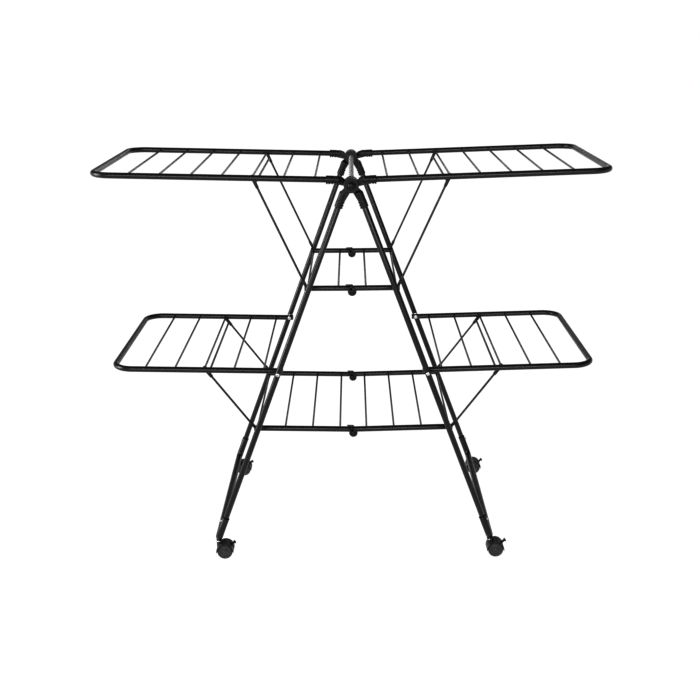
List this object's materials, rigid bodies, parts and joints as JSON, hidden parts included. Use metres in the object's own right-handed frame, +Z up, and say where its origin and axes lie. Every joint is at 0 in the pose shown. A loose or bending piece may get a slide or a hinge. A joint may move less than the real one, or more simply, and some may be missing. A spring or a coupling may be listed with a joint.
{
  "type": "clothes drying rack",
  "caption": "Folding two-tier clothes airer: hub-hinged leg frames, wired wings held by struts, folding middle shelves, braked casters.",
  "frame": {"origin": "on the floor, straight below the middle of the hub axle", "axes": "+X towards the right wings, +Y towards the rear end, +Z up; the hub axle lies along Y"},
  "size_m": [1.3968, 0.642, 1.125],
  "materials": {
    "powder_black": "satin black powder coat on steel",
    "satin_wire": "satin grey coated steel rod",
    "nylon_black": "moulded black plastic with a fine grain",
    "grey_steel": "plain grey steel tube",
    "bright_steel": "bright zinc-plated steel",
    "wheel_rubber": "dark moulded tread"
  },
  "bodies": {
    "left_leg_frame": {"hub_axle": "grey_steel", "hub_cap_front": "nylon_black", "hub_cap_rear": "nylon_black", "left_leg_hub_front": "nylon_black", "left_leg_hub_rear": "nylon_black", "left_leg_front": "powder_black", "left_leg_rear": "powder_black", "left_wing_rivet_front": "bright_steel", "left_wing_rivet_rear": "bright_steel", "left_base_bar": "powder_black", "left_upper_rod": "satin_wire", "left_lower_rod": "satin_wire", "left_caster_stem_front": "bright_steel", "left_caster_stem_rear": "bright_steel"},
    "right_leg_frame": {"right_leg_hub_front": "nylon_black", "right_leg_hub_rear": "nylon_black", "right_leg_front": "powder_black", "right_leg_rear": "powder_black", "right_wing_rivet_front": "bright_steel", "right_wing_rivet_rear": "bright_steel", "right_base_bar": "powder_black", "right_caster_stem_front": "bright_steel", "right_caster_stem_rear": "bright_steel"},
    "left_upper_wing": {"left_upper_wing": "powder_black", "left_wing_hub_front": "nylon_black", "left_wing_hub_rear": "nylon_black"},
    "right_upper_wing": {"right_upper_wing": "powder_black", "right_wing_hub_front": "nylon_black", "right_wing_hub_rear": "nylon_black"},
    "left_lower_wing": {"left_lower_wing": "powder_black"},
    "right_lower_wing": {"right_lower_wing": "powder_black"},
    "left_upper_strut": {"left_upper_strut": "powder_black"},
    "right_upper_strut": {"right_upper_strut": "powder_black"},
    "left_lower_strut": {"left_lower_strut": "powder_black"},
    "right_lower_strut": {"right_lower_strut": "powder_black"},
    "left_upper_shelf": {"left_upper_shelf": "powder_black", "upper_shelf_hinge_front": "nylon_black", "upper_shelf_hinge_rear": "nylon_black"},
    "right_upper_shelf": {"right_upper_shelf": "powder_black", "right_upper_rod": "satin_wire"},
    "left_lower_shelf": {"left_lower_shelf": "powder_black", "lower_shelf_hinge_front": "nylon_black", "lower_shelf_hinge_rear": "nylon_black"},
    "right_lower_shelf": {"right_lower_shelf": "powder_black", "right_lower_rod": "satin_wire"},
    "left_front_swivel": {"left_caster_hood_front": "nylon_black"},
    "left_front_wheels": {"left_caster_wheels_front": "wheel_rubber"},
    "left_front_pedal": {"left_brake_pedal_front": "nylon_black"},
    "left_rear_swivel": {"left_caster_hood_rear": "nylon_black"},
    "left_rear_wheels": {"left_caster_wheels_rear": "wheel_rubber"},
    "left_rear_pedal": {"left_brake_pedal_rear": "nylon_black"},
    "right_front_swivel": {"right_caster_hood_front": "nylon_black"},
    "right_front_wheels": {"right_caster_wheels_front": "wheel_rubber"},
    "right_front_pedal": {"right_brake_pedal_front": "nylon_black"},
    "right_rear_swivel": {"right_caster_hood_rear": "nylon_black"},
    "right_rear_wheels": {"right_caster_wheels_rear": "wheel_rubber"},
    "right_rear_pedal": {"right_brake_pedal_rear": "nylon_black"}
  },
  "joints": [
    {"name": "leg_fold", "type": "hinge", "parent": "left_leg_frame", "child": "right_leg_frame", "pos_m": [0, 0, 1.088], "axis": [0, 1, 0], "range_deg": [0, 35.6]},
    {"name": "left_upper_shelf_fold", "type": "hinge", "parent": "left_leg_frame", "child": "left_upper_shelf", "pos_m": [-0.12225, 0, 0.796], "axis": [0, -1, 0], "range_deg": [0, 63.5]},
    {"name": "right_upper_shelf_fold", "type": "hinge", "parent": "left_upper_shelf", "child": "right_upper_shelf", "pos_m": [0, 0, 0.7875], "axis": [0, 1, 0], "range_deg": [0, 162.5]},
    {"name": "left_lower_shelf_fold", "type": "hinge", "parent": "left_leg_frame", "child": "left_lower_shelf", "pos_m": [-0.27566, 0, 0.3835], "axis": [0, -1, 0], "range_deg": [0, 65.4]},
    {"name": "right_lower_shelf_fold", "type": "hinge", "parent": "left_lower_shelf", "child": "right_lower_shelf", "pos_m": [0, 0, 0.3697], "axis": [0, 1, 0], "range_deg": [0, 166.2]},
    {"name": "left_wing_fold", "type": "hinge", "parent": "left_leg_frame", "child": "left_upper_wing", "pos_m": [0, 0, 1.088], "axis": [0, -1, 0], "range_deg": [0, 66]},
    {"name": "left_upper_strut_fold", "type": "hinge", "parent": "left_upper_wing", "child": "left_upper_strut", "pos_m": [-0.26302, 0, 1.10535], "axis": [0, 1, 0], "range_deg": [0, 112.1]},
    {"name": "left_lower_wing_fold", "type": "hinge", "parent": "left_leg_frame", "child": "left_lower_wing", "pos_m": [-0.2076, 0, 0.5665], "axis": [0, -1, 0], "range_deg": [0, 65.1]},
    {"name": "left_lower_strut_fold", "type": "hinge", "parent": "left_lower_wing", "child": "left_lower_strut", "pos_m": [-0.41615, 0, 0.57123], "axis": [0, 1, 0], "range_deg": [0, 112.1]},
    {"name": "right_wing_fold", "type": "hinge", "parent": "right_leg_frame", "child": "right_upper_wing", "pos_m": [0, 0, 1.088], "axis": [0, 1, 0], "range_deg": [0, 66]},
    {"name": "right_upper_strut_fold", "type": "hinge", "parent": "right_upper_wing", "child": "right_upper_strut", "pos_m": [0.26302, 0, 1.10535], "axis": [0, -1, 0], "range_deg": [0, 112.1]},
    {"name": "right_lower_wing_fold", "type": "hinge", "parent": "right_leg_frame", "child": "right_lower_wing", "pos_m": [0.2076, 0, 0.5665], "axis": [0, 1, 0], "range_deg": [0, 65.1]},
    {"name": "right_lower_strut_fold", "type": "hinge", "parent": "right_lower_wing", "child": "right_lower_strut", "pos_m": [0.41615, 0, 0.57123], "axis": [0, -1, 0], "range_deg": [0, 112.1]},
    {"name": "left_front_swivel", "type": "hinge", "parent": "left_leg_frame", "child": "left_front_swivel", "pos_m": [-0.39541, -0.292, 0.022], "axis": [0, 0, 1], "continuous": true},
    {"name": "left_front_roll", "type": "hinge", "parent": "left_front_swivel", "child": "left_front_wheels", "pos_m": [-0.37841, -0.292, 0.022], "axis": [0, 1, 0], "continuous": true},
    {"name": "left_front_brake", "type": "hinge", "parent": "left_front_swivel", "child": "left_front_pedal", "pos_m": [-0.36431, -0.292, 0.03383], "axis": [0, 1, 0], "range_deg": [0, 18]},
    {"name": "left_rear_swivel", "type": "hinge", "parent": "left_leg_frame", "child": "left_rear_swivel", "pos_m": [-0.39541, 0.292, 0.022], "axis": [0, 0, 1], "continuous": true},
    {"name": "left_rear_roll", "type": "hinge", "parent": "left_rear_swivel", "child": "left_rear_wheels", "pos_m": [-0.37841, 0.292, 0.022], "axis": [0, 1, 0], "continuous": true},
    {"name": "left_rear_brake", "type": "hinge", "parent": "left_rear_swivel", "child": "left_rear_pedal", "pos_m": [-0.36431, 0.292, 0.03383], "axis": [0, 1, 0], "range_deg": [0, 18]},
    {"name": "right_front_swivel", "type": "hinge", "parent": "right_leg_frame", "child": "right_front_swivel", "pos_m": [0.39541, -0.292, 0.022], "axis": [0, 0, 1], "continuous": true},
    {"name": "right_front_roll", "type": "hinge", "parent": "right_front_swivel", "child": "right_front_wheels", "pos_m": [0.41241, -0.292, 0.022], "axis": [0, 1, 0], "continuous": true},
    {"name": "right_front_brake", "type": "hinge", "parent": "right_front_swivel", "child": "right_front_pedal", "pos_m": [0.4265, -0.292, 0.03383], "axis": [0, 1, 0], "range_deg": [0, 18]},
    {"name": "right_rear_swivel", "type": "hinge", "parent": "right_leg_frame", "child": "right_rear_swivel", "pos_m": [0.39541, 0.292, 0.022], "axis": [0, 0, 1], "continuous": true},
    {"name": "right_rear_roll", "type": "hinge", "parent": "right_rear_swivel", "child": "right_rear_wheels", "pos_m": [0.41241, 0.292, 0.022], "axis": [0, 1, 0], "continuous": true},
    {"name": "right_rear_brake", "type": "hinge", "parent": "right_rear_swivel", "child": "right_rear_pedal", "pos_m": [0.4265, 0.292, 0.03383], "axis": [0, 1, 0], "range_deg": [0, 18]}
  ],
  "couplings": [
    {"joint": "left_upper_shelf_fold", "follows": "leg_fold", "ratio": 1.7805},
    {"joint": "right_upper_shelf_fold", "follows": "leg_fold", "ratio": 4.5609},
    {"joint": "left_lower_shelf_fold", "follows": "leg_fold", "ratio": 1.8326},
    {"joint": "right_lower_shelf_fold", "follows": "leg_fold", "ratio": 4.6652},
    {"joint": "left_upper_strut_fold", "follows": "left_wing_fold", "ratio": 1.697},
    {"joint": "left_lower_wing_fold", "follows": "left_wing_fold", "ratio": 0.98485},
    {"joint": "left_lower_strut_fold", "follows": "left_wing_fold", "ratio": 1.697},
    {"joint": "right_upper_strut_fold", "follows": "right_wing_fold", "ratio": 1.697},
    {"joint": "right_lower_wing_fold", "follows": "right_wing_fold", "ratio": 0.98485},
    {"joint": "right_lower_strut_fold", "follows": "right_wing_fold", "ratio": 1.697}
  ]
}
